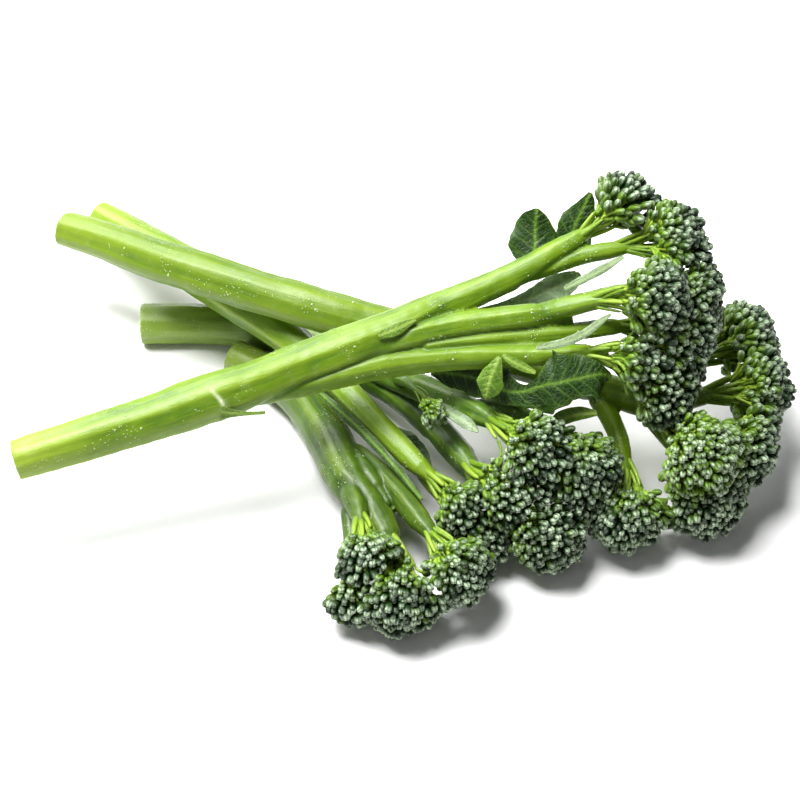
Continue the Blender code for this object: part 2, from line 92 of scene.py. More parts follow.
# Every stalk: its slot, then its limbs as points of (x, y, z, radius) in millimetres.
# The first point of a branch lies inside the limb that it grows from.
STALKS = {
    "top_stem": ("stem_green", {
        "trunk": [(-97, -24, 30, 5.2), (-83.5, -20.5, 32, 5.5), (-72, -16.5, 33, 5.8),
                  (-59.5, -13, 35, 6), (-48.5, -9.5, 37, 6.4), (-38.5, -6.5, 38.5, 5.7),
                  (-25.5, -1, 40, 5.6), (-13, 3.5, 42, 5.6), (0, 8, 44, 5.2),
                  (10.5, 13.5, 46, 4.3), (20.5, 17, 48.5, 3.7), (33.5, 22, 52, 3.3),
                  (42.5, 26.5, 55, 2.8), (50.5, 31, 58, 2.3)],
        "upper_fork": [(31, 20.5, 50.5, 2.6), (45, 24.5, 53, 2.4), (57, 26, 55, 2.2),
                       (62, 26, 56, 2)],
        "middle": [(-13, 3, 41.5, 4.6), (5, 6.5, 44, 3.9), (20.5, 8.5, 46, 3.3),
                   (36, 9.5, 48, 3), (52, 14, 49, 2.6), (66, 18.5, 48, 2.2)],
        "middle_fork": [(36, 9.5, 48, 2.6), (47, 9.5, 52, 2.3), (54, 8.5, 55, 2)],
        "inner": [(7.5, 4, 41.5, 3), (25.5, 5.5, 43, 2.6), (41, 6.5, 44, 2.4),
                  (54.5, 8.5, 44, 2.2), (61.5, 9, 43.5, 2)],
        "lower": [(-44.5, -8.5, 36, 4), (-25.5, -4.5, 37, 3.4), (-13, -1.5, 38, 3.6),
                  (0, 1, 39, 3.8), (15.5, 2, 40, 3.6), (30.5, 1.5, 41, 3),
                  (43.5, 1, 42, 2.6), (52, 1, 43, 2.2)],
        "lower_fork": [(33.5, 2.2, 40.2, 2.4), (48.5, 5.5, 37.5, 2), (59, 1.5, 34, 1.8)],
    }),
    "back_stem": ("stem_yellow", {
        "trunk": [(-93.5, 60.5, 27, 4.8), (-80, 54, 28, 5.3), (-68.5, 47, 29.5, 5.7),
                  (-54, 40, 30.5, 5.8), (-35.5, 32.5, 30.3, 5.7), (-21, 27.5, 29.3, 5.8),
                  (-6.5, 24, 28, 5.2), (10.5, 19.5, 26.5, 4.7), (32, 13.5, 24.5, 4.6),
                  (50, 7.5, 22.5, 4.4), (63, 1.5, 22.5, 3.8), (69.5, -7.5, 24, 3)],
        "far": [(58, 4, 22.5, 3.4), (71.5, 10, 23.5, 3), (82, 16, 25, 2.6)],
        "right": [(63, 1.5, 22.5, 3.4), (76, 3, 22.5, 3), (85.5, 5, 22.5, 2.6)],
        "near": [(65.5, -0.5, 22.5, 3), (76, -3.5, 20, 2.8), (82.5, -6, 19, 2.4)],
        "low": [(63, 1.5, 22.5, 3), (70.5, -5, 16, 2.7), (75.5, -12.5, 13, 2.3)],
        "hanging": [(50, 7.5, 22.5, 3), (55.5, -2, 19, 2.6), (58, -10, 16, 2.4),
                    (59.5, -17, 13.5, 2)],
    }),
    "crossing_stem": ("stem_green", {
        "trunk": [(-86, 75, 17, 4.8), (-70.5, 63.5, 17.2, 5.4), (-55.5, 51, 18, 6),
                  (-42.5, 39.5, 18.2, 5.8), (-30, 28, 18, 4.9), (-17.5, 13.5, 18, 3.9),
                  (-8, 0.5, 17.5, 3.4), (2.5, -12.5, 17, 3.1), (10, -20.5, 16, 2.8)],
        "fork": [(5, -15, 16, 2.4), (10.5, -20, 11, 2), (15.5, -25.5, 9.5, 1.8)],
    }),
    "middle_stem": ("stem_deep", {
        "trunk": [(-72.5, 44.5, 5.5, 5.5), (-56, 44.5, 5.5, 5.5), (-40.5, 42, 6.2, 5.4),
                  (-25, 35.5, 7.5, 5.2), (-11, 25, 9, 4.8), (0, 13.5, 11, 4.3),
                  (9.5, 0.5, 13, 3.9), (16, -10.5, 15, 3.4), (20, -17.5, 16, 3)],
        "upper": [(-9.5, 23, 12, 3.6), (5.5, 8.5, 20, 3.6), (15.5, -0.5, 24, 3.6),
                  (22.5, -7.5, 27, 3.2), (26, -11.5, 27.5, 2.8)],
        "upper_fork": [(18, -2.5, 25, 3), (30, -5.5, 26, 2.6), (39, -10, 24, 2.3)],
        "lower": [(10.5, -1, 12, 3.4), (21, -13, 8, 3), (30, -24.5, 8, 2.6)],
        "shoot": [(-1, 13.5, 17.5, 1.8), (1.5, 7, 24, 1.2), (5.5, -0.5, 28, 1)],
    }),
    "near_stem": ("stem_green", {
        "trunk": [(-46, 32, 5.2, 5), (-34.5, 24, 6, 5.4), (-25.5, 13.5, 7.8, 5.8),
                  (-18.5, -1.5, 10, 6.2), (-13, -16.5, 12, 5.8), (-5.5, -30, 12, 4.4),
                  (-1, -40, 12, 3.2)],
        "left": [(-14.5, -13, 12, 4), (-11, -27, 15, 3.2), (-9.5, -35.5, 17, 2.6)],
        "low_left": [(-13, -19, 11, 2.6), (-12.5, -33, 8, 2), (-13, -44.5, 8.5, 1.7)],
        "web": [(-16.5, -6, 11.5, 4.6), (-8.5, -16.5, 12.6, 4.4), (-3.5, -25, 13.4, 3.2)],
        "right": [(-17, -4, 11, 4.2), (-3, -18, 13, 3.4), (5, -31.5, 15, 2.9),
                  (9.5, -39, 15.5, 2.4)],
    }),
}

# Places where a leaf fell from a stalk: its limb, a point beside it, and the side it faces.
SCARS = {
    "top_stem": [("trunk", (-44.5, -12, 34), (0.1, -0.8, -0.5))],
}

# Every floret: the stalk and limb that it grows on, its middle, its radius and its looks.
FLORETS = {
    "top_floret_tip": ("top_stem", "trunk", (57.5, 35.5, 62), 8.8, "open"),
    "top_floret_far": ("top_stem", "upper_fork", (69.5, 26.5, 57), 10.4, "tight"),
    "top_floret_right": ("top_stem", "middle", (74, 16, 47), 10.8, "tight"),
    "top_floret_crest": ("top_stem", "middle_fork", (63.5, 6, 57.5), 9.4, "tight"),
    "top_floret_inner": ("top_stem", "inner", (70.5, 4, 42), 10.4, "tight"),
    "top_floret_near": ("top_stem", "lower", (61, -1.5, 44), 9, "tight"),
    "top_floret_low": ("top_stem", "lower_fork", (67.5, -6.5, 34.5), 9, "tight"),
    "back_floret_far": ("back_stem", "far", (90.5, 20.5, 26), 10.4, "tight"),
    "back_floret_right": ("back_stem", "right", (93, 6.5, 22), 10.8, "tight"),
    "back_floret_young": ("back_stem", "trunk", (76.5, -18.5, 26.5), 11, "young"),
    "back_floret_near": ("back_stem", "near", (89, -9, 17), 10.8, "tight"),
    "back_floret_low": ("back_stem", "low", (79, -21.5, 11.5), 11.2, "tight"),
    "back_floret_hanging": ("back_stem", "hanging", (57.5, -26.5, 11.2), 11, "tight"),
    "crossing_floret": ("crossing_stem", "trunk", (16, -27.5, 15), 8.4, "tight"),
    "crossing_floret_low": ("crossing_stem", "fork", (22.5, -32, 8.5), 8.2, "tight"),
    "middle_floret_crest": ("middle_stem", "upper", (33.5, -19, 28), 10.4, "tight"),
    "middle_floret_right": ("middle_stem", "upper_fork", (46, -20, 21.5), 11, "tight"),
    "middle_floret_low": ("middle_stem", "lower", (37.5, -32.5, 11), 11, "tight"),
    "middle_floret_left": ("middle_stem", "trunk", (29, -25.5, 19.5), 10, "tight"),
    "side_shoot_floret": ("middle_stem", "shoot", (8.5, -7.1, 27.6), 3.8, "young"),
    "near_floret_left": ("near_stem", "left", (-8.5, -44, 17), 7.8, "tight"),
    "near_floret_low": ("near_stem", "low_left", (-12.5, -52, 8), 6.4, "tight"),
    "near_floret_front": ("near_stem", "trunk", (0.5, -52, 10.8), 10.8, "tight"),
    "near_floret_right": ("near_stem", "right", (14.5, -46.5, 14.5), 9.8, "tight"),
}

# Every leaf: its slot, its finish, the way its face looks, droop, then its midrib as points of
# (x, y, z, width to the left, width to the right).
LEAVES = {
    "top_leaf": ("leaf_dark", "dark", (-0.1, -0.6, 0.77), 0.6, [
        (35.4, 26.6, 49.2, 4.5, 5.5), (35.2, 29.5, 51, 6.4, 5.5), (35.2, 32.1, 52.8, 6.4, 5.2),
        (35.2, 34.2, 54.8, 5.6, 4.6), (35.4, 35.8, 57, 3.6, 3.2), (35.6, 36.9, 58.5, 0.5, 0.5)]),
    "top_leaf_far": ("leaf_dark", "dark", (0.15, -0.6, 0.77), 0.6, [
        (43.9, 31.2, 49.2, 4, 6), (44.9, 34, 51.6, 4.4, 6), (46.2, 36.8, 53.9, 4, 5.2),
        (47.8, 39.4, 56.1, 2.6, 4), (49, 41.3, 57.7, 1.2, 2.4), (49.8, 42.4, 58.9, 0.4, 0.6)]),
    "pale_leaf": ("leaf_pale", "silver", (0, -0.5, 0.85), 0.3, [
        (17.1, 14.5, 42.4, 0.5, 0.5), (23.3, 15.8, 42.9, 1, 1), (29.8, 17.2, 43.6, 1.6, 1.6),
        (35.8, 19, 44.8, 2.8, 3), (41.5, 20.9, 46.5, 3.4, 3.6), (45.7, 22.7, 48, 1.6, 2),
        (46.7, 23.3, 48.5, 0.4, 0.4)]),
    "front_leaf": ("leaf_dark", "dark", (0, -0.62, 0.78), 0.8, [
        (8, 3.6, 31.6, 0.6, 0.6), (12, 3.4, 31.8, 3.2, 3), (18, 2, 32, 5, 4.4),
        (23.5, -1.5, 32.8, 5.5, 4), (27.8, -5, 34.4, 4, 3.4), (31.6, -6.8, 36.6, 1.6, 4.5),
        (35.1, -7.1, 38.6, 2.4, 7), (37.8, -7.6, 40.4, 5.5, 7.6), (39.9, -7.8, 41, 8, 6.6),
        (42.7, -7.7, 42, 7.2, 5), (46.2, -7.1, 42.3, 6.2, 5.2), (50.1, -6, 42.3, 3.6, 6.6),
        (52.6, -5, 40.8, 1.4, 4), (53.6, -4.9, 39.3, 0.5, 0.8)]),
    "front_strap": ("leaf_pale", "fresh", (0.3, -0.5, 0.8), 0.2, [
        (26.1, -2.2, 45.4, 0.6, 0.6), (28.4, -3.4, 44.4, 1.1, 1.1), (31.4, -4.2, 43, 1.2, 1.2),
        (34.5, -5, 41.7, 0.5, 0.5)]),
    "curled_leaf": ("leaf_dark", "fresh", (-0.2, -0.6, 0.77), 0.8, [
        (25.2, -1.6, 44.0, 0.6, 0.6), (24.2, -3.4, 42.5, 2, 1.8), (23.1, -5, 40.4, 3, 2.8),
        (22.4, -6.6, 38.4, 3.8, 3), (21.9, -7.5, 36.3, 2.6, 1.6), (21.7, -7.8, 34.7, 0.5, 0.5)]),
    "curled_lobe": ("leaf_pale", "fresh", (0, -0.7, 0.7), 0.8, [
        (50, -12, 34, 0.7, 0.7), (45.5, -11.2, 32.6, 1.6, 2), (41, -12.4, 32, 1.6, 2),
        (38.4, -13.4, 31.2, 0.6, 0.6)]),
    "shoot_leaf": ("leaf_pale", "silver", (0.2, -0.5, 0.85), 0.3, [
        (8.8, -0.6, 24.4, 0.6, 0.6), (11, -2.8, 25.2, 1.5, 1.3), (14.3, -6.7, 26.6, 1.8, 1.5),
        (17.6, -9.6, 26.8, 1.6, 1.5), (20, -11.8, 26.5, 0.5, 0.5)]),
    "strap_leaf_upper": ("leaf_pale", "silver", (-0.2, -0.6, 0.75), 0.2, [
        (42, 14.2, 52.4, 0.6, 0.6), (47, 15.6, 54.6, 1.1, 1.1), (52, 17.4, 56.6, 1.1, 1.1),
        (57, 19.6, 58.6, 0.5, 0.5)]),
    "strap_leaf_lower": ("leaf_pale", "silver", (-0.1, -0.6, 0.8), 0.2, [
        (34.4, -1.6, 47.4, 0.5, 0.5), (38.4, -1.2, 48, 1, 1), (42.5, -0.4, 48.7, 1.1, 1.1),
        (46.8, 1.4, 49.7, 1.1, 1.1), (50.4, 3.6, 51.2, 0.9, 0.9), (53.4, 5.6, 52.2, 0.35, 0.35)]),
    "long_bract": ("leaf_dark", "dark", (-0.4, -0.3, 0.85), 0.2, [
        (-22.5, 8.5, 19.8, 0.6, 0.6), (-16, 0.6, 20.2, 1.2, 1.2), (-9, -7.5, 20, 1.3, 1.3),
        (-1, -18, 19.4, 1.1, 1.1), (5.5, -28, 19, 0.5, 0.5)]),
    "joint_bract": ("leaf_pale", "fresh", (0, -0.9, 0.4), 0.3, [
        (-45, -15.5, 38.8, 1.7, 2.3), (-42.7, -15.4, 38.2, 1.1, 1.5), (-40, -15.2, 37.8, 0.6, 0.8),
        (-37, -14.8, 37.3, 0.5, 0.5), (-34, -14.5, 37.2, 0.5, 0.5)]),
    "fork_bract": ("leaf_pale", "fresh", (0, -0.64, 0.77), 0.3, [
        (-5.5, 2.2, 47.8, 0.8, 1), (-1, 3.9, 48.5, 1.3, 1.7), (4, 6.4, 49.3, 0.5, 0.5)]),
    "deep_leaf": ("leaf_dark", "dark", (-0.2, -0.6, 0.8), 0.4, [
        (-2.4, 4.6, 8.4, 0.7, 0.7), (1, 0, 8, 3, 2), (4.5, -4, 7.6, 3, 2.5),
        (8, -8.6, 7.2, 0.7, 0.7)]),
}


# ---------------------------------------------------------------- shapes


def unit(vectors):
    return vectors / np.maximum(np.linalg.norm(vectors, axis=-1, keepdims=True), 1e-9)


def dot(a, b):
    return (a * b).sum(-1)


def pairs(a, b):
    return np.stack(np.broadcast_arrays(a, b), -1)


def smoothstep(low, high, value):
    t = np.clip((value - low) / (high - low), 0, 1)
    return t * t * (3 - 2 * t)


def spline(points, steps):
    """Catmull-Rom samples through rows of numbers, which keep each given row."""
    p = np.array(points, float)
    p = np.vstack([2 * p[:1] - p[1:2], p, 2 * p[-1:] - p[-2:-1]])
    t = (np.arange(steps) / steps)[:, None]
    stretches = [
        0.5 * (2 * b + (c - a) * t + (2 * a - 5 * b + 4 * c - d) * t ** 2
               + (3 * b - a - 3 * c + d) * t ** 3)
        for a, b, c, d in zip(p, p[1:], p[2:], p[3:])
    ]
    return np.vstack(stretches + [p[-2:-1]])


def waves(points, size, rng, count=10):
    """Smooth noise from about -1 to 1, with features of about that size."""
    way = unit(rng.normal(size=(count, 3))) * rng.uniform(0.6, 1.5, (count, 1))
    return np.sin(points @ way.T * (2 * math.pi / size) + rng.uniform(0, 6.28, count)).sum(1) / 3


class Limb:
    """One smooth round limb: its middle line, its radius, and two side directions without twist."""

    def __init__(self, route, start=0.0):
        samples = spline(route, 3)
        self.line = samples[:, :3] - BUNCH_CENTRE
        self.ahead = unit(np.gradient(self.line, axis=0))
        side, sides = np.cross(self.ahead[0], (0, 0, 1)), []
        for ahead in self.ahead:
            side = unit(side - ahead * (side @ ahead))
            sides.append(side)
        self.side = np.array(sides)
        self.other = np.cross(self.ahead, self.side)
        lengths = np.linalg.norm(np.diff(self.line, axis=0), axis=1)
        self.along = start + np.concatenate([[0], np.cumsum(lengths)])
        to_end = self.along[-1] - self.along
        self.radius = samples[:, 3] * (1 - TIP_TAPER * smoothstep(9.0, 0.0, to_end))

    def near(self, points):
        """For each point: gap to the skin, way out, distance along, turn round it, and radius."""
        start, step = self.line[:-1], np.diff(self.line, axis=0)
        share = np.einsum("vsk,sk->vs", points[:, None] - start, step) / (step ** 2).sum(1)
        share = np.clip(share, 0, 1)
        offset = points[:, None] - start - share[..., None] * step
        radius = self.radius[:-1] + share * np.diff(self.radius)
        away = np.linalg.norm(offset, axis=2)
        best = (away - radius).argmin(1)
        row = np.arange(len(points))
        share, offset, radius, away = (x[row, best] for x in (share, offset, radius, away))
        mixed = [x[best] + share[:, None] * (x[best + 1] - x[best]) for x in (self.side, self.other)]
        turn = np.arctan2(dot(offset, mixed[1]), dot(offset, mixed[0]))
        along = self.along[best] + share * (self.along[best + 1] - self.along[best])
        return away - radius, offset / np.maximum(away, 1e-6)[:, None], along, turn, radius


def grow_limbs():
    """The limbs of every stalk, each with its distance from the cut end carried on."""
    grown = {}
    for stem, (_, routes) in STALKS.items():
        limbs = {"trunk": Limb(routes["trunk"])}
        for name, route in routes.items():
            if name != "trunk":
                root = np.array([route[0][:3]]) - BUNCH_CENTRE
                parent = min(limbs.values(), key=lambda limb: limb.near(root)[0][0])
                limbs[name] = Limb(route, parent.near(root)[2][0])
        grown[stem] = limbs
    return grown


def new_mesh(name, points, faces):
    """A mesh from points in millimetres and a list of face arrays, each of one size."""
    mesh = bpy.data.meshes.new(name)
    mesh.vertices.add(len(points))
    points = np.column_stack([points[:, :2], np.maximum(points[:, 2], 0)])
    mesh.vertices.foreach_set("co", (points * MM).astype(np.float32).ravel())
    corners = np.concatenate([f.ravel() for f in faces]).astype(np.int32)
    sizes = np.concatenate([np.full(len(f), f.shape[1]) for f in faces])
    mesh.loops.add(len(corners))
    mesh.loops.foreach_set("vertex_index", corners)
    mesh.polygons.add(len(sizes))
    mesh.polygons.foreach_set(
        "loop_start", np.concatenate([[0], np.cumsum(sizes)[:-1]]).astype(np.int32))
    mesh.update(calc_edges=True)
    mesh.shade_smooth()
    return mesh


def add_piece(node, suffix, material, slot, points, faces, fields, atlas=None):
    """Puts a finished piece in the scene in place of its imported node."""
    mesh = new_mesh(f"{node}_{suffix}", points, faces)
    for name, values in fields.items():
        kind = "FLOAT_VECTOR" if values.ndim == 2 else "FLOAT"
        attribute = mesh.attributes.new(name, kind, "POINT")
        attribute.data.foreach_set(
            "vector" if values.ndim == 2 else "value", values.astype(np.float32).ravel())
    if atlas is not None:
        layer = mesh.uv_layers.new(name="OFBake")
        layer.data.foreach_set("uv", atlas.astype(np.float32).ravel())
    mesh.materials.append(material)
    piece = bpy.data.objects.new(mesh.name, mesh)
    bpy.context.scene.collection.objects.link(piece)
    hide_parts(node)
    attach(piece, "root")


def lathe(paths, radii, sides, relief=None):
    """Closed round bodies along many paths at once: a point at each end and a ring at each
    step between. Gives points, quads, triangles, and for each point its step and its turn."""
    count, steps = paths.shape[:2]
    ahead = unit(np.gradient(paths, axis=1))
    chord = unit(paths[:, -1] - paths[:, 0])
    rough = np.where(np.abs(chord[:, 2:]) < 0.8, (0, 0, 1.0), (1.0, 0, 0))
    side = unit(np.cross(chord, rough))[:, None]
    side = unit(side - ahead * dot(ahead, side)[..., None])
    other = np.cross(ahead, side)
    turn = np.arange(sides) * (2 * math.pi / sides)
    reach = radii[:, :, None] * (1 if relief is None else relief)
    rings = paths[:, 1:-1, None] + reach[..., None] * (
        side[:, 1:-1, None] * np.cos(turn)[:, None] + other[:, 1:-1, None] * np.sin(turn)[:, None])
    points = np.concatenate(
        [paths[:, :1], rings.reshape(count, -1, 3), paths[:, -1:]], axis=1)
    size = points.shape[1]
    j = np.arange(sides)
    k = (j + 1) % sides
    ring = 1 + sides * np.arange(steps - 3)[:, None]
    quads = np.stack([ring + j, ring + k, ring + sides + k, ring + sides + j], -1).reshape(-1, 4)
    top = 1 + sides * (steps - 3)
    triangles = np.concatenate([
        np.stack([np.zeros(sides, int), 1 + k, 1 + j], -1),
        np.stack([top + j, top + k, np.full(sides, size - 1)], -1)])
    u, v = j / sides, np.arange(steps) / (steps - 1)
    right, middle = u + 1 / sides, u + 0.5 / sides
    low, high = v[1:-2, None], v[2:-1, None]
    quad_uv = np.stack([pairs(u, low), pairs(right, low), pairs(right, high), pairs(u, high)], 2)
    quad_uv = quad_uv.reshape(-1, 4, 2)
    triangle_uv = np.concatenate([
        np.stack([pairs(middle, 0.0), pairs(right, v[1]), pairs(u, v[1])], 1),
        np.stack([pairs(u, v[-2]), pairs(right, v[-2]), pairs(middle, 1.0)], 1)])
    first = (np.arange(count) * size)[:, None, None]
    return {
        "points": points.reshape(-1, 3),
        "quads": (quads + first).reshape(-1, 4),
        "triangles": (triangles + first).reshape(-1, 3),
        "quad_uv": np.broadcast_to(quad_uv, (count, *quad_uv.shape)),
        "triangle_uv": np.broadcast_to(triangle_uv, (count, *triangle_uv.shape)),
        "step": np.tile(np.concatenate([[0], np.repeat(v[1:-1], sides), [1]]), count),
        "turn": np.tile(np.concatenate([[0], np.tile(turn, steps - 2), [0]]), count),
        "each": size,
    }


def curves(starts, bends, ends, steps):
    """Paths that leave each start, lean towards its bend and arrive at its end."""
    t = np.linspace(0, 1, steps)[None, :, None]
    starts, bends, ends = (x[:, None] for x in (starts, bends, ends))
    return (1 - t) ** 2 * starts + 2 * t * (1 - t) * bends + t ** 2 * ends


class Growth:
    """Gathers lathed bodies into one mesh, with one tile of the atlas for each body."""

    def __init__(self):
        self.bodies = []

    def add(self, paths, radii, sides, relief=None, **fields):
        """Each field is one number, one for each body, or one for each point."""
        body = lathe(paths, radii, sides, relief)
        count, each = len(paths), body["each"]
        body["fields"] = {
            name: values if np.size(values) == count * each
            else np.repeat(np.broadcast_to(values, count), each)
            for name, values in fields.items()
        }
        body["count"] = count
        self.bodies.append(body)
        return body

    def arrays(self):
        """Points, faces, fields and atlas of everything gathered."""
        total = sum(body["count"] for body in self.bodies)
        grid = math.ceil(math.sqrt(total))
        points, quads, triangles, quad_uv, triangle_uv = [], [], [], [], []
        first_point = first_tile = 0
        for body in self.bodies:
            tile = first_tile + np.arange(body["count"])
            corner = np.stack([tile % grid, tile // grid], -1)[:, None, None]
            for uv, store in ((body["quad_uv"], quad_uv), (body["triangle_uv"], triangle_uv)):
                store.append(((0.06 + 0.88 * uv + corner) / grid).reshape(-1, 2))
            points.append(body["points"])
            quads.append(body["quads"] + first_point)
            triangles.append(body["triangles"] + first_point)
            first_point += len(body["points"])
            first_tile += body["count"]
        fields = {
            name: np.concatenate([
                body["fields"].get(name, np.zeros(len(body["points"]))) for body in self.bodies])
            for name in sorted({name for body in self.bodies for name in body["fields"]})
        }
        faces = [np.concatenate(quads), np.concatenate(triangles)]
        return np.concatenate(points), faces, fields, np.concatenate(quad_uv + triangle_uv)


# ---------------------------------------------------------------- stalks


def melt(points, limbs, softness):
    """The gap to the skin round several limbs that run into each other, with each limb's share."""
    found = [limb.near(points) for limb in limbs]
    gaps = np.array([f[0] for f in found])
    low = gaps.min(0)
    share = np.exp(-(gaps - low) / softness)
    total = share.sum(0)
    gap = low - softness * np.log(total)
    share /= total
    out = sum(s[:, None] * f[1] for s, f in zip(share, found))
    return gap, out, share, found


def cut_flat(points, gap, out, trunk):
    """Cuts the skin off square at the trunk's start, with a slightly rounded rim."""
    back = -trunk.ahead[0]
    end = (points - trunk.line[0]) @ back
    both = (gap > -CUT_RIM) & (end > -CUT_RIM)
    a, b = gap + CUT_RIM, end + CUT_RIM
    joined = np.where(both, np.hypot(a, b) - CUT_RIM, np.maximum(gap, end))
    way = np.where((gap > end)[:, None], out, back)
    way = np.where(both[:, None], a[:, None] * out + b[:, None] * back, way)
    return joined, unit(way), end


def fuse(name, limbs, voxel):
    """Points and quads of one even skin round overlapping tubes."""
    growth = Growth()
    for limb in limbs:
        ends = limb.ahead[0] * limb.radius[0], limb.ahead[-1] * limb.radius[-1] * 0.6
        path = np.vstack([limb.line[0] - ends[0] * 0.5, limb.line, limb.line[-1] + ends[1]])
        growth.add(path[None], limb.radius[None] + 0.2, 16)
    points, faces, _, _ = growth.arrays()
    mesh = new_mesh(name, points, faces)
    holder = bpy.data.objects.new(name, mesh)
    bpy.context.scene.collection.objects.link(holder)
    remesh = holder.modifiers.new("Fuse", "REMESH")
    remesh.mode = "VOXEL"
    remesh.voxel_size = voxel * MM
    skin = holder.evaluated_get(bpy.context.evaluated_depsgraph_get()).to_mesh()
    points = np.empty(len(skin.vertices) * 3, np.float32)
    skin.vertices.foreach_get("co", points)
    corners = np.empty(len(skin.loops), np.int32)
    skin.loops.foreach_get("vertex_index", corners)
    if len(corners) != 4 * len(skin.polygons):
        raise RuntimeError(f"{name}: the fused skin isn't all quads")
    holder.to_mesh_clear()
    bpy.data.objects.remove(holder)
    bpy.data.meshes.remove(mesh)
    return points.reshape(-1, 3).astype(float) / MM, corners.reshape(-1, 4)


def stalk_shape(stem, limbs, settings, rng):
    """Points, faces and fields of one ridged, branching stalk with dew on it."""
    parts = list(limbs.values())
    trunk = limbs["trunk"]
    points, quads = fuse(stem, parts, settings.grain / MM)
    for _ in range(3):
        gap, out, _, _ = melt(points, parts, LIMB_MELT)
        gap, way, _ = cut_flat(points, gap, out, trunk)
        points = points - way * np.clip(gap, -0.6, 0.6)[:, None]
    gap, out, share, found = melt(points, parts, LIMB_MELT)
    _, way, end = cut_flat(points, gap, out, trunk)
    cut = smoothstep(-0.25, -0.02, end)
    ridge, fibre, along, girth = 0, 0, 0, 0
    for weight, (_, _, distance, turn, radius) in zip(share, found):
        phase = rng.uniform(0, 2 * math.pi, 3)
        lobes = (0.7 * np.cos(5 * turn + phase[0] + 0.015 * distance)
                 + 0.4 * np.cos(8 * turn + phase[1] - 0.02 * distance)
                 + 0.2 * np.cos(15 * turn + phase[2] + 0.01 * distance))
        ridge = ridge + weight * lobes * np.minimum(radius / 5.5, 1)
        fibre = fibre + weight[:, None] * np.stack(
            [np.cos(turn) * radius, np.sin(turn) * radius, distance * 0.07], -1)
        along = along + weight * distance
        girth = girth + weight * radius
    nearest = np.sort([f[0] for f in found], axis=0)
    # The crease marks the crotch grooves where two limbs part: the skin is pressed in there, and the
    # finish darkens it as painted shade.
    crease_and_shade = np.zeros(len(points))
    if len(parts) > 1:
        crease_and_shade = np.exp(-((nearest[1] - nearest[0]) / 0.55) ** 2) * (nearest[0] > -0.6)
    scar = np.zeros(len(points))
    raised = np.zeros(len(points))
    for limb, place, faces in SCARS.get(stem, []):
        where = np.array([place]) - BUNCH_CENTRE
        _, _, distance, _, radius = limbs[limb].near(where)
        _, around, here, _, _ = limbs[limb].near(points)
        facing = smoothstep(-0.35, 0.45, dot(around, unit(np.array(faces, float))))
        step = here - distance[0] + 1.2 * waves(points, 9, rng)
        line = np.exp(-(step / 0.55) ** 2) * facing
        scar = np.maximum(scar, line)
        raised = raised + facing * 0.35 * np.exp(-(step / np.where(step < 0, 2.2, 0.6)) ** 2)
    lumps = waves(points, 14, rng) * 0.12 + waves(points, 5, rng) * 0.035
    relief = settings.ridge_depth / MM * ridge + lumps + raised - 0.55 * crease_and_shade
    points = points + way * (relief * (1 - cut))[:, None]
    fields = {
        "fibre": fibre, "along": along, "ridge": ridge, "scar": scar, "cut": cut,
        "crease_and_shade": crease_and_shade,
        "rim": np.clip(1 + gap / np.maximum(girth, 1), 0, 1), "dew": np.zeros(len(points)),
    }
    return add_dew(points, [quads], fields, way, settings, rng)


def add_dew(points, faces, fields, out, settings, rng):
    """Sets small drops of water on the upper skin, in drifts."""
    wet = waves(points, 16, rng) + 0.6 * waves(points, 6, rng)
    chance = smoothstep(-0.1, 1.0, wet) * smoothstep(-0.25, 0.5, out[:, 2]) * (fields["cut"] < 0.1)
    picks = np.flatnonzero(rng.random(len(points)) < chance * settings.dew)
    size = rng.uniform(0.1, 0.22, len(picks)) * (1 + (rng.random(len(picks)) < 0.05) * 0.8)
    base, up = points[picks], out[picks]
    heights = np.array((-0.25, 0.0, 0.45, 0.62))[None, :, None]
    paths = base[:, None] + up[:, None] * heights * size[:, None, None]
    growth = Growth()
    drops = growth.add(paths, size[:, None] * np.array([[1.0, 0.7]]), 7)
    each = drops["each"]
    joined = {}
    for name, values in fields.items():
        extra = np.repeat(values[picks], each, axis=0)
        joined[name] = np.concatenate([values, extra if name != "dew" else np.ones(len(extra))])
    first = len(points)
    return (np.concatenate([points, drops["points"]]),
            [faces[0], drops["quads"] + first, drops["triangles"] + first], joined)


# ---------------------------------------------------------------- crowns


def dome(axis, spread, count, rng, jitter):
    """Directions spread evenly over a dome round an axis."""
    share = (np.arange(count) + 0.5) / count
    tilt = 1 - share * (1 - math.cos(spread))
    turn = np.arange(count) * GOLDEN_TURN + rng.uniform(0, 2 * math.pi)
    flat = np.sqrt(1 - tilt ** 2)
    side = unit(np.cross(axis, (0.31, 0.17, 0.93)))
    other = np.cross(axis, side)
    way = (tilt[:, None] * axis + (flat * np.cos(turn))[:, None] * side
           + (flat * np.sin(turn))[:, None] * other)
    return unit(way + rng.normal(size=way.shape) * jitter)


BUD_PROFILE = np.array((0.4, 0.78, 1.0, 0.98, 0.78, 0.4))
BUD_STEPS = np.array((0.0, 0.06, 0.22, 0.45, 0.68, 0.87, 0.97, 1.0))
BUD_SIDES = 12


def bud_relief():
    """Four sepals: the seams between them are pressed in, most of all near the tip."""
    turn = np.arange(BUD_SIDES) * (2 * math.pi / BUD_SIDES)
    seam = np.abs(np.cos(2 * turn)) ** 6
    depth = np.array((0.0, 0.06, 0.12, 0.17, 0.22, 0.3))
    return 1 - depth[:, None] * seam


def canopy(centre, ways, radius, stem):
    """How far from a floret's middle the skin lies that it shares with its stalk's other florets."""
    balls = [(np.array(place) - BUNCH_CENTRE, size)
             for grown_on, _, place, size, _ in FLORETS.values() if grown_on == stem]
    reach = np.full(len(ways), radius)
    for _ in range(6):
        points = centre + ways * reach[:, None]
        gaps = np.array([np.linalg.norm(points - place, axis=1) - size for place, size in balls])
        low = gaps.min(0)
        gap = low - CROWN_MELT * np.log(np.exp(-(gaps - low) / CROWN_MELT).sum(0))
        reach = np.clip(reach - gap, radius, radius * 1.3)
    return reach


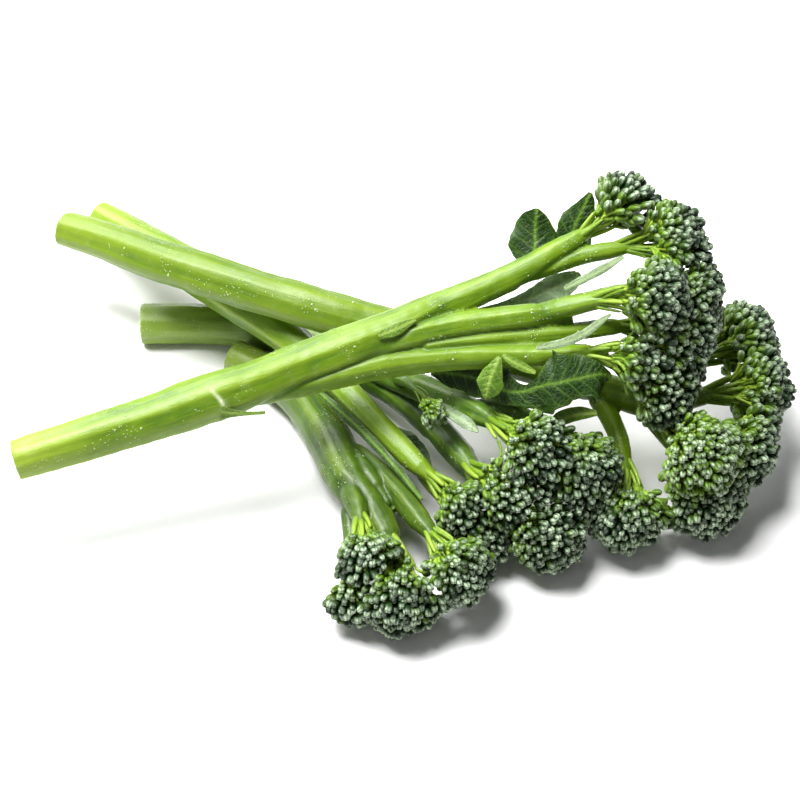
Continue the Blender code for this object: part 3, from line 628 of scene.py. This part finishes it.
def crown_shape(node, limbs, settings, rng):
    """Points, faces, fields and atlas of one floret: clusters of buds on branching stalklets,
    which fan out from the tip of one limb."""
    stem, limb_name, centre, radius, looks = FLORETS[node]
    centre = np.array(centre) - BUNCH_CENTRE
    limb = limbs[stem][limb_name]
    tip, girth = limb.line[-1], limb.radius[-1]
    axis = unit(centre - tip)
    small = radius < SMALL_CROWN
    open_crown = looks == "open"
    grade = 1.3 if open_crown else 0.75 if small else 1
    bud_length = settings.bud_length / MM * grade
    bud_width = settings.bud_width / MM * (1.05 if open_crown else grade)
    spacing = settings.bud_spacing / MM * (1.3 if open_crown else grade)
    spread = settings.spread
    skirt = spread * CROWN_SKIRT
    clusters = max(5, round(radius * CLUSTERS_PER_MM))
    seeds = dome(axis, skirt * 0.95, clusters, rng, 0.12)
    area = 2 * math.pi * (1 - math.cos(skirt)) * radius ** 2
    ways = dome(axis, skirt, int(area / (0.87 * spacing ** 2)), rng, 0.17 * spacing / radius)
    sparse = smoothstep(spread * 0.84, skirt, np.arccos(ways @ axis))
    stay = rng.random(len(ways)) > 0.8 * sparse ** 0.7
    ways, sparse = ways[stay], sparse[stay]
    closeness = ways @ seeds.T
    owner = closeness.argmax(1)
    apart = np.arccos(np.clip(closeness.max(1), -1, 1))
    patch = math.acos(1 - (1 - math.cos(skirt)) / clusters)
    fall = np.clip(apart / patch, 0, 1.5) ** 2
    swell = rng.uniform(-0.05, 0.04, clusters)
    skin = canopy(centre, ways, radius, stem)
    reach = skin + radius * (swell[owner] - settings.clump_depth * fall - 0.2 * sparse)
    reach = reach + rng.normal(size=len(ways)) * (0.4 + 0.8 * sparse)
    tops = centre + ways * reach[:, None]
    hubs = tip + (centre + seeds * radius - tip) * 0.42
    aim = unit(unit(tops - hubs[owner]) + 0.35 * ways + rng.normal(size=tops.shape) * 0.1)

    size = rng.uniform(0.74, 1.14, len(tops)) * (0.9 + 0.16 * np.clip(fall, 0, 1))
    length = bud_length * size ** 0.6 * rng.uniform(0.9, 1.1, len(tops))
    width = bud_width * size
    middles = tops - aim * length[:, None] * 0.5
    keep = middles[:, 2] > width * 0.5
    mine = dot(middles - centre, middles - centre) - radius ** 2
    for other, (_, _, place, other_radius, _) in FLORETS.items():
        if other != node:
            offset = middles - (np.array(place) - BUNCH_CENTRE)
            keep &= mine <= dot(offset, offset) - other_radius ** 2 + 2.0
    for other_limbs in limbs.values():
        for other in other_limbs.values():
            keep &= other.near(middles)[0] > width * 0.42
    tops, aim, owner, ways, length, width, sparse = (
        x[keep] for x in (tops, aim, owner, ways, length, width, sparse))
    count = len(tops)
    bases = tops - aim * length[:, None]
    tone = rng.random(count)
    rimward = np.maximum(smoothstep(0.6, -0.05, ways @ axis), sparse)
    fresh = np.clip(rimward * rng.uniform(0.3, 1.1, count)
                    + 0.4 * (rng.random(count) < 0.08), 0, 1)

    growth = Growth()
    paths = bases[:, None] + aim[:, None] * length[:, None, None] * BUD_STEPS[None, :, None]
    buds = growth.add(paths, width[:, None] * 0.5 * BUD_PROFILE, BUD_SIDES, bud_relief(),
                      tone=tone, fresh=fresh)
    last = len(BUD_STEPS) - 1
    buds["fields"]["reach"] = np.interp(buds["step"] * last, np.arange(last + 1), BUD_STEPS)
    # The seam field marks the grooves between the sepals, where the finish paints shade.
    seam = np.abs(np.cos(2 * buds["turn"])) ** 4
    buds["fields"]["seam"] = seam * smoothstep(0.1, 0.5, buds["step"])

    back = rng.uniform(0.0, 0.55, count)[:, None]
    starts = hubs[owner] * (1 - back) + tip * back
    starts = starts + rng.normal(size=starts.shape) * 0.3
    bends = bases - aim * np.linalg.norm(bases - starts, axis=1)[:, None] * 0.5
    thin = rng.uniform(0.36, 0.5, count)[:, None] * (1.1 if open_crown else 1)
    stalklets = growth.add(
        curves(starts, bends, bases + aim * 0.3, 7),
        thin * np.array((1.15, 1.0, 0.95, 1.0, 1.3)), 5, tone=tone, fresh=fresh, stalk=1.0)
    stalklets["fields"]["reach"] = stalklets["step"]

    # A core body in the middle of each crown, coloured near black as painted shade.
    core = np.linspace(-0.3, 0.62, 9)[None, :, None] * radius
    heart = growth.add(
        centre + axis * core, radius * np.array([[0.2, 0.38, 0.5, 0.56, 0.56, 0.48, 0.28]]), 14,
        stalk=1.0, seam=1.0)
    heart["points"][:, 2] = np.maximum(heart["points"][:, 2], 0.3)

    used = np.unique(owner)
    lean = np.clip(1 - seeds[used] @ axis, 0, 1.4)[:, None] * rng.uniform(0.6, 1.2, (len(used), 1))
    sideways = unit(seeds[used] - (seeds[used] @ axis)[:, None] * axis)
    behind = limb.line[-1] - limb.ahead[-1] * (1.0 + 5.0 * lean)
    roots = behind + sideways * girth * 0.2
    bends = tip - axis * 1.2 * lean + sideways * (girth * 0.75 + 1.5 * lean)
    thick = girth * rng.uniform(0.46, 0.6, len(used))[:, None]
    branches = growth.add(
        curves(roots, bends, hubs[used], 10), thick * np.linspace(1.1, 0.6, 8), 9,
        tone=rng.random(len(used)), fresh=0.6, stalk=1.0)
    branches["fields"]["reach"] = branches["step"] * 0.4
    return growth.arrays()


# ---------------------------------------------------------------- leaves


def leaf_shape(node, settings, rng):
    """Points, faces, fields and atlas of a thin wavy blade with a sunken midrib and side veins."""
    _, _, faces_to, droop, midrib = LEAVES[node]
    rows = spline(midrib, LEAF_STEPS)
    line = rows[:, :3] - BUNCH_CENTRE
    along = unit(np.gradient(line, axis=0))
    across = unit(np.cross(along, np.array(faces_to, float)))
    face = np.cross(across, along)
    distance = np.concatenate([[0], np.cumsum(np.linalg.norm(np.diff(line, axis=0), axis=1))])
    v = np.linspace(-1, 1, 2 * LEAF_COLUMNS + 1)
    left, right = np.maximum(rows[:, 3], 0.15), np.maximum(rows[:, 4], 0.15)
    widest = max(max(row[3:]) for row in midrib)
    width = np.where(v[None] < 0, left[:, None], right[:, None])
    broad = widest > BROAD_LEAF
    lobe = 0
    for side in (-1, 1):
        phase = rng.uniform(0, 6.28, 2)
        edge = (0.06 * np.sin(distance * 0.7 + phase[0]) + 0.02 * np.sin(distance * 2.3 + phase[1]))
        lobe = lobe + np.where(np.sign(v)[None] == side, edge[:, None], 0)
    width = width * (1 + lobe * np.abs(v) ** 2 * (1 if broad else 0.4))
    sag = droop * (width / widest) * np.abs(v) ** 1.5
    wave = rng.uniform(0, 6.28, 2)
    ripple = np.sin(distance[:, None] * 0.75 + wave[0] + 1.4 * np.sign(v)) * np.abs(v) ** 2
    ripple = ripple * 0.085 * width
    x = width * v
    pitch = 3.4 if broad else 1.6
    slant = distance[:, None] - np.abs(x) * 0.75 + np.where(v < 0, pitch * 0.5, 0)
    to_vein = np.abs((slant / pitch) % 1 - 0.5) * pitch
    side_vein = np.exp(-(to_vein / 0.2) ** 2) * (1 - 0.55 * np.abs(v))
    main = np.exp(-(x / 0.28) ** 2) + 0.35 * np.exp(-(x / 0.7) ** 2)
    vein = np.clip(main + side_vein * (0.55 if broad else 0.4), 0, 1)
    puff = 0.13 * np.sin(math.pi * np.clip(to_vein / (pitch * 0.5), 0, 1)) * (1 - v ** 2) * broad
    surface = (line[:, None] + across[:, None] * x[..., None]
               + face[:, None] * (ripple - sag + puff - 0.1 * vein)[..., None])
    thick = settings.thickness / MM * (0.35 + 0.65 * (1 - v ** 2)) * np.ones_like(x)
    under = surface - face[:, None] * (thick + 0.22 * vein * (1 - np.abs(v)))[..., None]
    count, columns = x.shape
    points = np.concatenate([surface.reshape(-1, 3), under.reshape(-1, 3)])
    row, column = np.meshgrid(np.arange(count - 1), np.arange(columns - 1), indexing="ij")
    a = (row * columns + column).ravel()
    top = np.stack([a, a + 1, a + columns + 1, a + columns], -1)
    shift = count * columns
    bottom = top[:, ::-1] + shift
    edge = np.concatenate([
        np.arange(columns - 1), (columns - 1) + columns * np.arange(count - 1),
        (count - 1) * columns + np.arange(columns - 1, 0, -1), columns * np.arange(count - 1, 0, -1)])
    following = np.roll(edge, -1)
    rim = np.stack([following, edge, edge + shift, following + shift], -1)
    u_axis, v_axis = distance / distance[-1], (v + 1) / 2
    flat = np.stack(np.meshgrid(u_axis, v_axis, indexing="ij"), -1).reshape(-1, 2)
    top_uv = flat * (0.96, 0.44) + (0.02, 0.02)
    bottom_uv = flat * (0.96, 0.44) + (0.02, 0.5)
    uv = np.concatenate([top_uv, bottom_uv])
    steps = np.arange(len(edge)) / len(edge)
    ends = steps + 1 / len(edge)
    strip = ((ends, 0.96), (steps, 0.96), (steps, 0.985), (ends, 0.985))
    rim_uv = np.stack([pairs(u, height) for u, height in strip], 1)
    atlas = np.concatenate([part.reshape(-1, 2) for part in (uv[top], uv[bottom], rim_uv)])
    zero = np.zeros(x.size)
    fields = {
        "vein": np.concatenate([vein.ravel(), vein.ravel()]),
        "under": np.concatenate([zero, zero + 1]),
        "edge": np.tile((np.abs(v) ** 6 * np.ones_like(x)).ravel(), 2),
        "blade": np.tile(np.stack([x, distance[:, None] + 0 * x, 0 * x], -1).reshape(-1, 3), (2, 1)),
    }
    return points, [top, bottom, rim], fields, atlas


# ---------------------------------------------------------------- finishes


class Number:
    """A shader socket that can be used in arithmetic, which adds the Math nodes."""

    def __init__(self, paint, socket):
        self.paint = paint
        self.socket = socket

    def math(self, operation, *values):
        node = self.paint.node("ShaderNodeMath", {"operation": operation}, dict(enumerate(values)))
        return Number(self.paint, node.outputs[0])

    def __add__(self, other):
        return self.math("ADD", self, other)

    def __sub__(self, other):
        return self.math("SUBTRACT", self, other)

    def __mul__(self, other):
        return self.math("MULTIPLY", self, other)

    def __rsub__(self, other):
        return self.math("SUBTRACT", other, self)

    __radd__ = __add__
    __rmul__ = __mul__


class Paint:
    """One finish: a material and the makers of its nodes."""

    def __init__(self, name):
        self.material = bpy.data.materials.new(name)
        self.material.use_nodes = True
        self.tree = self.material.node_tree
        self.tree.nodes.clear()

    def node(self, kind, settings=None, values=None):
        """Adds a node: settings first, then the values or links of its sockets."""
        node = self.tree.nodes.new(kind)
        for key, value in (settings or {}).items():
            setattr(node, key, value)
        for key, value in (values or {}).items():
            if isinstance(value, Number):
                value = value.socket
            if isinstance(value, bpy.types.NodeSocket):
                self.tree.links.new(value, node.inputs[key])
            else:
                node.inputs[key].default_value = value
        return node

    def field(self, name):
        node = self.node("ShaderNodeAttribute", {"attribute_name": name})
        return Number(self, node.outputs["Fac"])

    def vector_field(self, name):
        return self.node("ShaderNodeAttribute", {"attribute_name": name}).outputs["Vector"]

    def place(self):
        """The place on the piece, in millimetres."""
        place = self.node("ShaderNodeTexCoord").outputs["Object"]
        return self.node("ShaderNodeVectorMath", {"operation": "SCALE"},
                         {0: place, "Scale": 1 / MM}).outputs[0]

    def noise(self, vector, scale, detail, roughness=0.5):
        node = self.node("ShaderNodeTexNoise", None, {
            "Vector": vector, "Scale": scale, "Detail": detail, "Roughness": roughness})
        return Number(self, node.outputs["Fac"])

    def step(self, value, low, high):
        """Rises smoothly from 0 at low to 1 at high."""
        node = self.node("ShaderNodeMapRange", {"interpolation_type": "SMOOTHSTEP"}, {
            "Value": value, "From Min": low, "From Max": high})
        return Number(self, node.outputs[0])

    def mix(self, first, second, share):
        """A colour from first to second."""
        node = self.node("ShaderNodeMix", {"data_type": "RGBA"}, {0: share, 6: first, 7: second})
        return node.outputs[2]

    def bump(self, height, distance, strength):
        return self.node("ShaderNodeBump", None, {
            "Height": height, "Distance": distance, "Strength": strength}).outputs[0]

    def finish(self, **values):
        """Ends the finish in one Principled surface, its sockets given with _ for a space."""
        shader = self.node("ShaderNodeBsdfPrincipled", None, {
            key.replace("_", " "): value for key, value in values.items()})
        self.node("ShaderNodeOutputMaterial", None, {"Surface": shader.outputs[0]})
        return self.material


def rgba(colour):
    return (*colour, 1.0)


def stalk_finish(name, pale, green, deep, tail_length=30.0):
    """Waxy fibrous skin, paler on its ridges, with pale scars and cut ends, and painted shade in the
    crotches between limbs.
    """
    paint = Paint(name)
    fibre, place = paint.vector_field("fibre"), paint.place()
    streaks = paint.noise(fibre, 1.3, 3.0, 0.6)
    fine = paint.noise(fibre, 4.5, 2.0, 0.6)
    blotch = paint.noise(place, 0.09, 3.0, 0.55)
    ridge = paint.field("ridge")
    along = paint.field("along")
    light = paint.step(streaks * 0.4 + fine * 0.35 + blotch * 0.4 + ridge * 0.2, 0.5, 0.95)
    colour = paint.mix(rgba(deep), rgba(green), paint.step(streaks + blotch + ridge * 0.2, 0.5, 1.05))
    colour = paint.mix(colour, rgba(pale), light * 0.5)
    # Painted shade: the crotch grooves between limbs are darkened towards the deep colour.
    colour = paint.mix(colour, rgba(deep), paint.field("crease_and_shade") * 0.7)
    tail = paint.step(along, tail_length, 0.0) * 0.6
    colour = paint.mix(colour, rgba(pale), tail)
    bloom = paint.step(paint.noise(place, 0.35, 4.0, 0.6), 0.52, 0.75) * 0.06
    colour = paint.mix(colour, SKIN_BLOOM, bloom)
    colour = paint.mix(colour, SCAR_TISSUE, paint.field("scar"))
    rim = paint.field("rim")
    rings = paint.step(rim, 0.72, 0.8) - paint.step(rim, 0.84, 0.93)
    flesh = paint.mix(FLESH, FLESH_RING, rings * 0.7 + paint.noise(place, 1.6, 3.0) * 0.3)
    colour = paint.mix(colour, flesh, paint.field("cut"))
    dew = paint.field("dew")
    colour = paint.mix(colour, DEW_GLINT, dew * 0.35)
    roughness = 0.38 + fine * 0.16 + paint.field("cut") * 0.2 - dew * 0.36
    height = streaks * 0.5 + fine * 0.25 + paint.noise(place, 2.2, 3.0) * 0.35
    return paint.finish(
        Base_Color=colour, Roughness=roughness, Normal=paint.bump(height, 0.0003, 0.7),
        Subsurface_Weight=0.1, Subsurface_Radius=SOFT_SKIN, Subsurface_Scale=0.0015,
        Coat_Weight=0.22, Coat_Roughness=0.36, Specular_IOR_Level=0.35, IOR=1.45)


def bud_finish(name, settings, young):
    """Matt waxy buds with pale tips of bloom and painted highlight, seams and feet darkened as painted
    shade, on smooth yellow-green stalklets round a core painted in shade.
    """
    paint = Paint(name)
    place = paint.place()
    reach, seam, tone = paint.field("reach"), paint.field("seam"), paint.field("tone")
    fresh, stalk = paint.field("fresh"), paint.field("stalk")
    grain = paint.noise(place, 1.8, 3.0, 0.6)
    dark, body, bloom = rgba(settings.bud_dark), rgba(settings.bud_body), rgba(settings.bud_bloom_and_highlight)
    bud = paint.mix(dark, body, paint.step(tone * 0.8 + grain * 0.5, 0.1, 1.05))
    bud = paint.mix(bud, LIVELY_BUD, fresh * 0.85 + (0.5 if young else 0.0))
    # Bud feet darken towards the shade colour as painted shade in the gaps between buds; fresh buds get
    # a real yellow-green foot instead.
    foot = paint.mix(dark, LIVELY_BUD_FOOT, fresh)
    bud = paint.mix(bud, foot, paint.step(reach, 0.5, 0.05) * 0.85)
    # Pale bud tips: partly the real waxy bloom, partly painted highlight.
    tip_bloom_and_highlight = paint.step(reach + grain * 0.6 + tone * 0.4, 1.18, 1.72)
    bud = paint.mix(bud, bloom, tip_bloom_and_highlight * (0.95 - fresh * 0.45))
    # Painted shade: the pressed-in seams between the sepals are darkened.
    bud = paint.mix(bud, dark, seam * 0.75)
    stem = paint.mix(STALKLET_DEEP, STALKLET_PALE, paint.step(grain + tone * 0.6, 0.4, 1.0))
    stem = paint.mix(STALKLET_FOOT, stem, paint.step(reach, 0.02, 0.3))
    # The seam field is 1 on the crown's core, which this paints in shade.
    stem = paint.mix(stem, CROWN_CORE_SHADE, seam)
    colour = paint.mix(bud, stem, stalk)
    return paint.finish(
        Base_Color=colour, Roughness=0.34 - stalk * 0.02 + grain * 0.1,
        Normal=paint.bump(grain, 0.0002, 0.5),
        Subsurface_Weight=0.05, Subsurface_Radius=SOFT_BLADE, Subsurface_Scale=0.001,
        Specular_IOR_Level=0.4, IOR=1.42)


def leaf_finish(name, blade, under, vein):
    """Glossy blade with a fine net of paler veins, and a duller underside."""
    paint = Paint(name)
    where = paint.vector_field("blade")
    veins, below, edge = paint.field("vein"), paint.field("under"), paint.field("edge")
    patches = paint.noise(where, 0.35, 3.0, 0.6)
    net = paint.node("ShaderNodeTexVoronoi", {"feature": "DISTANCE_TO_EDGE"},
                     {"Vector": where, "Scale": 1.1})
    mesh = paint.step(Number(paint, net.outputs["Distance"]), 0.12, 0.0)
    deep = tuple(0.55 * c for c in blade)
    colour = paint.mix(rgba(deep), rgba(blade), paint.step(patches, 0.3, 0.7))
    colour = paint.mix(colour, rgba(vein), mesh * 0.16)
    colour = paint.mix(colour, rgba(under), below * 0.7)
    colour = paint.mix(colour, rgba(vein), veins * 0.75)
    colour = paint.mix(colour, rgba(vein), edge * 0.25)
    height = mesh * -0.4 + patches * 0.3
    return paint.finish(
        Base_Color=colour, Roughness=0.34 + below * 0.2 + patches * 0.12,
        Normal=paint.bump(height, 0.00025, 0.8),
        Subsurface_Weight=0.06, Subsurface_Radius=SOFT_BLADE, Subsurface_Scale=0.0008,
        Coat_Weight=0.03, Coat_Roughness=0.25, Specular_IOR_Level=0.3, IOR=1.45)


# ---------------------------------------------------------------- settings


def length_setting(name, description, default):
    return bpy.props.FloatProperty(name=name, description=description, default=default,
                                   min=0.0, precision=5, unit="LENGTH", subtype="DISTANCE")


def colour_setting(name, description, default):
    return bpy.props.FloatVectorProperty(name=name, description=description, default=default,
                                         min=0.0, max=1.0, size=3, subtype="COLOR")


def share_setting(name, description, default, most):
    return bpy.props.FloatProperty(name=name, description=description, default=default,
                                   min=0.0, max=most, subtype="FACTOR")


def angle_setting(name, description, degrees):
    return bpy.props.FloatProperty(name=name, description=description, unit="ROTATION",
                                   default=math.radians(degrees), subtype="ANGLE")


class StalkSettings(bpy.types.PropertyGroup):
    grain: length_setting("Grain", "Size of the faces on a stalk's skin", 0.0005)
    ridge_depth: length_setting("Ridge depth", "Height of the long ribs on a stalk", 0.00019)
    dew: share_setting("Dew", "Share of the wet skin that carries a drop", 0.1, 0.3)
    pale: colour_setting("Pale skin", "Colour of ridges and of the cut end's tail", (0.3, 0.41, 0.035))
    green: colour_setting("Green skin", "Colour of most of the skin", (0.135, 0.24, 0.005))
    deep: colour_setting("Deep skin", "Colour of the hollows between ridges", (0.066, 0.15, 0.004))


class CrownSettings(bpy.types.PropertyGroup):
    bud_length: length_setting("Bud length", "Length of a flower bud", 0.0035)
    bud_width: length_setting("Bud width", "Width of a flower bud", 0.0023)
    bud_spacing: length_setting("Bud spacing", "Distance between two buds of a crown", 0.00205)
    spread: angle_setting("Spread", "Angle from a crown's axis to its last close buds", 98)
    clump_depth: share_setting("Clump depth", "Fall between clusters, in shares of the radius", 0.1, 0.5)
    bud_dark: colour_setting("Bud shade", "Colour of seams and the darkest buds", (0.005, 0.015, 0.004))
    bud_body: colour_setting("Bud body", "Colour of most buds", (0.022, 0.06, 0.012))
    # The pale tip colour stands for waxy bloom and painted highlight.
    bud_bloom_and_highlight: colour_setting("Bud bloom and highlight", "Colour of the waxy tips", (0.56, 0.7, 0.48))


class LeafSettings(bpy.types.PropertyGroup):
    thickness: length_setting("Thickness", "Thickness of a leaf at its midrib", 0.0004)
    blade: colour_setting("Blade", "Colour of a dark leaf's face", (0.006, 0.032, 0.0015))
    vein: colour_setting("Vein", "Colour of the veins", (0.14, 0.26, 0.03))
    pale_blade: colour_setting("Silver blade", "Colour of a pale leaf's face", (0.22, 0.31, 0.17))
    fresh_blade: colour_setting("Fresh blade", "Colour of a small fresh leaf", (0.1, 0.22, 0.014))


class StageSettings(bpy.types.PropertyGroup):
    distance: length_setting("Camera distance", "From the camera to the middle of the bunch", 0.58)
    elevation: angle_setting("Camera elevation", "Height of the camera above the horizon", 50)
    lens: bpy.props.FloatProperty(
        name="Lens", description="Focal length in millimetres", default=100.0, min=10.0,
        unit="CAMERA")
    key: bpy.props.FloatProperty(
        name="Key light", description="Power of the large light behind the bunch", default=25.0,
        min=0.0, unit="POWER")
    sky: bpy.props.FloatProperty(
        name="Surround", description="Strength of the even light from all round", default=0.15,
        min=0.0)


# ---------------------------------------------------------------- operators


class BROCCOLINI_OT_stalks(bpy.types.Operator):
    """Grow the five branching stalks"""

    bl_idname = "broccolini.stalks"
    bl_label = "Grow Stalks"

    def execute(self, context):
        settings = context.scene.broccolini_stalks
        finishes = {
            "stem_green": stalk_finish("Green stalk", settings.pale, settings.green, settings.deep),
            "stem_yellow": stalk_finish("Yellow-green stalk", (0.2, 0.29, 0.012), (0.115, 0.2, 0.003),
                                        (0.065, 0.14, 0.003)),
            # The deep green copy is darker as painted shade for the middle stalk, which lies in the top
            # stalk's shadow; its 60 mm tail, paler towards the cut end, keeps the end outside that
            # shadow lighter.
            "stem_deep": stalk_finish("Green stalk painted in shade", (0.26, 0.37, 0.05), (0.07, 0.15, 0.006),
                                      (0.018, 0.06, 0.002), 60.0),
        }
        # A darker copy of the green finish, as painted shade, for the near stalk.
        shaded = stalk_finish("Shaded green stalk", (0.2, 0.28, 0.035), (0.055, 0.11, 0.003),
                              (0.015, 0.045, 0.002))
        for index, (stem, limbs) in enumerate(grow_limbs().items()):
            rng = np.random.default_rng(100 + index)
            slot = STALKS[stem][0]
            finish = shaded if stem == "near_stem" else finishes[slot]
            add_piece(stem, "stalk", finish, slot, *stalk_shape(stem, limbs, settings, rng))
        return {"FINISHED"}


class BROCCOLINI_OT_crowns(bpy.types.Operator):
    """Grow the bud florets on the ends of the stalks"""

    bl_idname = "broccolini.crowns"
    bl_label = "Grow Crowns"

    def execute(self, context):
        settings = context.scene.broccolini_crowns
        green = bud_finish("Green buds", settings, False)
        young = bud_finish("Young buds", settings, True)
        limbs = grow_limbs()
        for index, (node, (*_, looks)) in enumerate(FLORETS.items()):
            rng = np.random.default_rng(200 + index)
            finish, slot = (young, "buds_young") if looks == "young" else (green, "buds_green")
            add_piece(node, "buds", finish, slot, *crown_shape(node, limbs, settings, rng))
        return {"FINISHED"}


class BROCCOLINI_OT_leaves(bpy.types.Operator):
    """Grow the small leaves and bracts"""

    bl_idname = "broccolini.leaves"
    bl_label = "Grow Leaves"

    def execute(self, context):
        settings = context.scene.broccolini_leaves
        finishes = {
            "dark": leaf_finish("Dark leaf", settings.blade, (0.04, 0.09, 0.02), settings.vein),
            "silver": leaf_finish("Silver leaf", settings.pale_blade, (0.26, 0.35, 0.2),
                                  (0.32, 0.42, 0.2)),
            "fresh": leaf_finish("Fresh leaf", settings.fresh_blade, (0.14, 0.25, 0.04),
                                 (0.3, 0.42, 0.08)),
        }
        for index, (node, (slot, finish, *_)) in enumerate(LEAVES.items()):
            rng = np.random.default_rng(300 + index)
            add_piece(node, "blade", finishes[finish], slot, *leaf_shape(node, settings, rng))
        return {"FINISHED"}


class BROCCOLINI_OT_stage(bpy.types.Operator):
    """Add the pale floor, the soft studio light and the camera"""

    bl_idname = "broccolini.stage"
    bl_label = "Set Stage"

    def light(self, name, aim, place, size, power):
        """A soft light, beside the point that it faces by place's x and y, and at place's height."""
        data = bpy.data.lights.new(name, "AREA")
        data.shape = "RECTANGLE"
        data.size, data.size_y = size
        data.energy = power
        lamp = bpy.data.objects.new(name, data)
        lamp.location = (aim.x + place[0], aim.y + place[1], place[2])
        lamp.rotation_euler = (aim - lamp.location).to_track_quat("-Z", "Y").to_euler()
        bpy.context.scene.collection.objects.link(lamp)

    def execute(self, context):
        scene, settings = context.scene, context.scene.broccolini_stage
        half = 4.0
        floor = bpy.data.meshes.new("floor")
        floor.from_pydata([(-half, -half, 0), (half, -half, 0), (half, half, 0), (-half, half, 0)],
                          [], [(0, 1, 2, 3)])
        paint = Paint("Pale floor")
        floor.materials.append(paint.finish(Base_Color=(0.78, 0.78, 0.78, 1), Roughness=0.9,
                                            Specular_IOR_Level=0.1))
        ground = bpy.data.objects.new("floor", floor)
        scene.collection.objects.link(ground)

        world = bpy.data.worlds.new("Pale surround")
        world.use_nodes = True
        background = world.node_tree.nodes["Background"]
        background.inputs["Color"].default_value = (1, 1, 1, 1)
        background.inputs["Strength"].default_value = settings.sky
        scene.world = world

        low, high = CAD_BOX
        middle = (low + high) / 2
        power = settings.key
        self.light("key", middle, (-0.3, 0.14, 1.0), (0.45, 0.45), power)
        self.light("back", middle, (-0.45, 0.7, 0.7), (0.8, 0.5), power * 0.5)
        self.light("fill", middle, (-0.5, -0.7, 0.7), (0.8, 0.8), power * 0.04)

        target = Vector((-BUNCH_CENTRE[0] * MM, -BUNCH_CENTRE[1] * MM, 0.025))
        way = Vector((0, -math.cos(settings.elevation), math.sin(settings.elevation)))
        data = bpy.data.cameras.new("camera")
        data.lens = settings.lens
        data.clip_start = 0.01
        camera = bpy.data.objects.new("camera", data)
        camera.location = target + way * settings.distance
        camera.rotation_euler = (-way).to_track_quat("-Z", "Y").to_euler()
        scene.collection.objects.link(camera)
        scene.camera = camera
        scene.view_settings.view_transform = "Standard"
        return {"FINISHED"}


class BROCCOLINI_PT_panel(bpy.types.Panel):
    """Lists what the bunch is made of"""

    bl_idname = "BROCCOLINI_PT_panel"
    bl_label = "Bunch of Broccolini"
    bl_space_type = "VIEW_3D"
    bl_region_type = "UI"
    bl_category = "Broccolini"

    def draw(self, context):
        for group, operator in (("broccolini_stalks", BROCCOLINI_OT_stalks),
                                ("broccolini_crowns", BROCCOLINI_OT_crowns),
                                ("broccolini_leaves", BROCCOLINI_OT_leaves),
                                ("broccolini_stage", BROCCOLINI_OT_stage)):
            settings = getattr(context.scene, group)
            box = self.layout.box()
            for name in settings.__annotations__:
                box.prop(settings, name)
            box.operator(operator.bl_idname)


CLASSES = (StalkSettings, CrownSettings, LeafSettings, StageSettings, BROCCOLINI_OT_stalks,
           BROCCOLINI_OT_crowns, BROCCOLINI_OT_leaves, BROCCOLINI_OT_stage, BROCCOLINI_PT_panel)


def register():
    for cls in CLASSES:
        bpy.utils.register_class(cls)
    scene = bpy.types.Scene
    scene.broccolini_stalks = bpy.props.PointerProperty(type=StalkSettings)
    scene.broccolini_crowns = bpy.props.PointerProperty(type=CrownSettings)
    scene.broccolini_leaves = bpy.props.PointerProperty(type=LeafSettings)
    scene.broccolini_stage = bpy.props.PointerProperty(type=StageSettings)


def unregister():
    scene = bpy.types.Scene
    del scene.broccolini_stalks, scene.broccolini_crowns
    del scene.broccolini_leaves, scene.broccolini_stage
    for cls in reversed(CLASSES):
        bpy.utils.unregister_class(cls)


def main():
    register()
    bpy.ops.broccolini.stalks()
    bpy.ops.broccolini.crowns()
    bpy.ops.broccolini.leaves()
    bpy.ops.broccolini.stage()
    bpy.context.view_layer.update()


if __name__ == "__main__":
    main()
